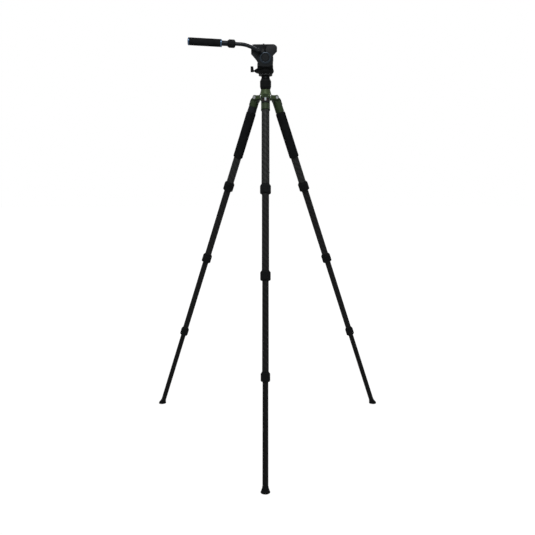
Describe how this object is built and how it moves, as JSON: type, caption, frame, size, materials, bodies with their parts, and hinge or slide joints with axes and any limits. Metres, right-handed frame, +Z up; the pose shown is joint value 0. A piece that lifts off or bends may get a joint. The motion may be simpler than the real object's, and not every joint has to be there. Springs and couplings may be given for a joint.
{
  "type": "camera tripod with fluid head",
  "caption": "Folding travel tripod: telescoping legs with twist locks, sliding centre column, fluid pan and tilt head with quick plate and telescoping handle.",
  "frame": {"origin": "point on the floor under the centre column's axis", "axes": "+Z up along the centre column, -Y along the front leg, -X along the pan handle, +X the way a camera's lens would look"},
  "size_m": [0.9342, 0.8133, 1.4578],
  "materials": {
    "olive_anodised": "satin anodised",
    "carbon_fibre": "satin woven carbon",
    "black_alloy": "fine satin black",
    "lock_rubber": "moulded rubber",
    "foam": "fine-cell foam",
    "steel": "bright steel",
    "blue_anodised": "bright anodised",
    "black_plastic": "moulded plastic"
  },
  "bodies": {
    "shoulder": {"spider": "olive_anodised", "hinge_pins": "steel"},
    "leg_front": {"casting_front": "olive_anodised", "upper_tube_front": "carbon_fibre"},
    "stop_front": {"angle_stop_front": "black_plastic"},
    "section_2_front": {"second_tube_front": "carbon_fibre"},
    "section_3_front": {"third_tube_front": "carbon_fibre"},
    "section_4_front": {"lower_tube_front": "carbon_fibre", "foot_front": "lock_rubber"},
    "upper_lock_ring_front": {"upper_lock_front": "lock_rubber"},
    "middle_lock_ring_front": {"middle_lock_front": "lock_rubber"},
    "lower_lock_ring_front": {"lower_lock_front": "lock_rubber"},
    "leg_right": {"casting_right": "olive_anodised", "upper_tube_right": "carbon_fibre", "leg_grip_right": "foam"},
    "stop_right": {"angle_stop_right": "black_plastic"},
    "section_2_right": {"second_tube_right": "carbon_fibre"},
    "section_3_right": {"third_tube_right": "carbon_fibre"},
    "section_4_right": {"lower_tube_right": "carbon_fibre", "foot_right": "lock_rubber"},
    "upper_lock_ring_right": {"upper_lock_right": "lock_rubber"},
    "middle_lock_ring_right": {"middle_lock_right": "lock_rubber"},
    "lower_lock_ring_right": {"lower_lock_right": "lock_rubber"},
    "leg_left": {"casting_left": "olive_anodised", "upper_tube_left": "carbon_fibre", "monopod_collar": "black_alloy", "leg_grip_left": "foam"},
    "stop_left": {"angle_stop_left": "black_plastic"},
    "section_2_left": {"second_tube_left": "carbon_fibre"},
    "section_3_left": {"third_tube_left": "carbon_fibre"},
    "section_4_left": {"lower_tube_left": "carbon_fibre", "foot_left": "lock_rubber"},
    "upper_lock_ring_left": {"upper_lock_left": "lock_rubber"},
    "middle_lock_ring_left": {"middle_lock_left": "lock_rubber"},
    "lower_lock_ring_left": {"lower_lock_left": "lock_rubber"},
    "column": {"column_tube": "carbon_fibre", "column_top_plate": "black_alloy", "column_end_cap": "black_alloy", "head_base": "black_alloy"},
    "column_lock_ring": {"column_lock": "lock_rubber"},
    "hook": {"bag_hook": "steel"},
    "pan_head": {"pan_housing": "black_alloy"},
    "pan_lock": {"pan_lever": "black_plastic"},
    "cradle": {"tilt_cradle": "black_alloy", "tilt_shaft": "steel", "tilt_cap": "black_plastic", "tilt_cap_ring": "blue_anodised", "handle_rosette": "steel", "handle_bolt": "steel"},
    "tilt_lock": {"tilt_lever": "black_plastic"},
    "jaw": {"plate_jaw": "black_alloy"},
    "clamp_lock": {"clamp_lever": "black_plastic"},
    "plate": {"quick_plate": "black_alloy", "plate_pads": "lock_rubber"},
    "screw": {"camera_screw": "steel"},
    "handle": {"handle_arm": "black_alloy"},
    "handle_slider": {"handle_tube": "carbon_fibre", "handle_grip": "foam", "handle_grip_rings": "blue_anodised"},
    "handle_lock_ring": {"handle_collar": "lock_rubber"}
  },
  "joints": [
    {"name": "leg_front_fold", "type": "hinge", "parent": "shoulder", "child": "leg_front", "pos_m": [0, -0.0372, 1.256], "axis": [-1, 0, 0], "range_deg": [-20.9, 138]},
    {"name": "section_2_front_slide", "type": "slide", "parent": "leg_front", "child": "section_2_front", "axis": [0, -0.3567, -0.9342], "range_m": [-0.2682, 0]},
    {"name": "section_3_front_slide", "type": "slide", "parent": "section_2_front", "child": "section_3_front", "axis": [0, -0.3567, -0.9342], "range_m": [-0.3008, 0]},
    {"name": "section_4_front_slide", "type": "slide", "parent": "section_3_front", "child": "section_4_front", "axis": [0, -0.3567, -0.9342], "range_m": [-0.3234, 0]},
    {"name": "leg_right_fold", "type": "hinge", "parent": "shoulder", "child": "leg_right", "pos_m": [0.03222, 0.0186, 1.256], "axis": [0.5, -0.866, 0], "range_deg": [-20.9, 138]},
    {"name": "section_2_right_slide", "type": "slide", "parent": "leg_right", "child": "section_2_right", "axis": [0.3089, 0.1784, -0.9342], "range_m": [-0.2682, 0]},
    {"name": "section_3_right_slide", "type": "slide", "parent": "section_2_right", "child": "section_3_right", "axis": [0.3089, 0.1784, -0.9342], "range_m": [-0.3008, 0]},
    {"name": "section_4_right_slide", "type": "slide", "parent": "section_3_right", "child": "section_4_right", "axis": [0.3089, 0.1784, -0.9342], "range_m": [-0.3234, 0]},
    {"name": "leg_left_fold", "type": "hinge", "parent": "shoulder", "child": "leg_left", "pos_m": [-0.03222, 0.0186, 1.256], "axis": [0.5, 0.866, 0], "range_deg": [-20.9, 138]},
    {"name": "section_2_left_slide", "type": "slide", "parent": "leg_left", "child": "section_2_left", "axis": [-0.3089, 0.1784, -0.9342], "range_m": [-0.2682, 0]},
    {"name": "section_3_left_slide", "type": "slide", "parent": "section_2_left", "child": "section_3_left", "axis": [-0.3089, 0.1784, -0.9342], "range_m": [-0.3008, 0]},
    {"name": "section_4_left_slide", "type": "slide", "parent": "section_3_left", "child": "section_4_left", "axis": [-0.3089, 0.1784, -0.9342], "range_m": [-0.3234, 0]},
    {"name": "column_raise", "type": "slide", "parent": "shoulder", "child": "column", "axis": [0, 0, 1], "range_m": [0, 0.22]},
    {"name": "hook_pull", "type": "slide", "parent": "column", "child": "hook", "axis": [0, 0, -1], "range_m": [0, 0.012], "stiffness_N_per_m": 200},
    {"name": "pan", "type": "hinge", "parent": "column", "child": "pan_head", "pos_m": [0, 0, 1.34], "axis": [0, 0, 1], "continuous": true},
    {"name": "pan_lock_turn", "type": "hinge", "parent": "pan_head", "child": "pan_lock", "pos_m": [-0.04, 0, 1.348], "axis": [1, 0, 0], "range_deg": [0, 90]},
    {"name": "tilt", "type": "hinge", "parent": "pan_head", "child": "cradle", "pos_m": [0, 0, 1.388], "axis": [0, 1, 0], "range_deg": [-55, 90]},
    {"name": "tilt_lock_turn", "type": "hinge", "parent": "cradle", "child": "tilt_lock", "pos_m": [0, 0.045, 1.388], "axis": [0, 1, 0], "range_deg": [0, 80]},
    {"name": "clamp_lock_turn", "type": "hinge", "parent": "cradle", "child": "clamp_lock", "pos_m": [-0.002, -0.042, 1.4275], "axis": [0, 1, 0], "range_deg": [-90, 0]},
    {"name": "jaw_slide", "type": "slide", "parent": "cradle", "child": "jaw", "axis": [0, -1, 0], "range_m": [0, 0.0012]},
    {"name": "plate_slide", "type": "slide", "parent": "cradle", "child": "plate", "axis": [1, 0, 0], "range_m": [-0.02, 0.02]},
    {"name": "camera_screw_turn", "type": "hinge", "parent": "plate", "child": "screw", "pos_m": [-0.0065, 0, 1.4398], "axis": [0, 0, 1], "continuous": true},
    {"name": "handle_swing", "type": "hinge", "parent": "cradle", "child": "handle", "pos_m": [-0.024, -0.047, 1.413], "axis": [0, 1, 0], "range_deg": [-30, 60]},
    {"name": "handle_extend", "type": "slide", "parent": "handle", "child": "handle_slider", "axis": [-0.9982, 0, 0.0593], "range_m": [0, 0.08]},
    {"name": "handle_lock_twist", "type": "hinge", "parent": "handle_slider", "child": "handle_lock_ring", "pos_m": [-0.11816, -0.047, 1.43497], "axis": [-0.9982, 0, 0.0593], "range_deg": [0, 90]},
    {"name": "stop_front_pull", "type": "slide", "parent": "leg_front", "child": "stop_front", "axis": [0, -0.9342, 0.3567], "range_m": [0, 0.005], "stiffness_N_per_m": 300},
    {"name": "upper_lock_front_twist", "type": "hinge", "parent": "leg_front", "child": "upper_lock_ring_front", "pos_m": [0, -0.1644, 0.93271], "axis": [0, -0.3567, -0.9342], "range_deg": [0, 90]},
    {"name": "middle_lock_front_twist", "type": "hinge", "parent": "section_2_front", "child": "middle_lock_ring_front", "pos_m": [0, -0.27292, 0.64852], "axis": [0, -0.3567, -0.9342], "range_deg": [0, 90]},
    {"name": "lower_lock_front_twist", "type": "hinge", "parent": "section_3_front", "child": "lower_lock_ring_front", "pos_m": [0, -0.39271, 0.33481], "axis": [0, -0.3567, -0.9342], "range_deg": [0, 90]},
    {"name": "stop_right_pull", "type": "slide", "parent": "leg_right", "child": "stop_right", "axis": [0.809, 0.4671, 0.3567], "range_m": [0, 0.005], "stiffness_N_per_m": 300},
    {"name": "upper_lock_right_twist", "type": "hinge", "parent": "leg_right", "child": "upper_lock_ring_right", "pos_m": [0.14238, 0.0822, 0.93271], "axis": [0.3089, 0.1784, -0.9342], "range_deg": [0, 90]},
    {"name": "middle_lock_right_twist", "type": "hinge", "parent": "section_2_right", "child": "middle_lock_ring_right", "pos_m": [0.23636, 0.13646, 0.64852], "axis": [0.3089, 0.1784, -0.9342], "range_deg": [0, 90]},
    {"name": "lower_lock_right_twist", "type": "hinge", "parent": "section_3_right", "child": "lower_lock_ring_right", "pos_m": [0.3401, 0.19636, 0.33481], "axis": [0.3089, 0.1784, -0.9342], "range_deg": [0, 90]},
    {"name": "stop_left_pull", "type": "slide", "parent": "leg_left", "child": "stop_left", "axis": [-0.809, 0.4671, 0.3567], "range_m": [0, 0.005], "stiffness_N_per_m": 300},
    {"name": "upper_lock_left_twist", "type": "hinge", "parent": "leg_left", "child": "upper_lock_ring_left", "pos_m": [-0.14238, 0.0822, 0.93271], "axis": [-0.3089, 0.1784, -0.9342], "range_deg": [0, 90]},
    {"name": "middle_lock_left_twist", "type": "hinge", "parent": "section_2_left", "child": "middle_lock_ring_left", "pos_m": [-0.23636, 0.13646, 0.64852], "axis": [-0.3089, 0.1784, -0.9342], "range_deg": [0, 90]},
    {"name": "lower_lock_left_twist", "type": "hinge", "parent": "section_3_left", "child": "lower_lock_ring_left", "pos_m": [-0.3401, 0.19636, 0.33481], "axis": [-0.3089, 0.1784, -0.9342], "range_deg": [0, 90]},
    {"name": "column_lock_twist", "type": "hinge", "parent": "shoulder", "child": "column_lock_ring", "pos_m": [0, 0, 1.293], "axis": [0, 0, 1], "range_deg": [0, 90]}
  ],
  "couplings": [
    {"joint": "clamp_lock_turn", "follows": "jaw_slide", "rad_per_m": -1309}
  ]
}
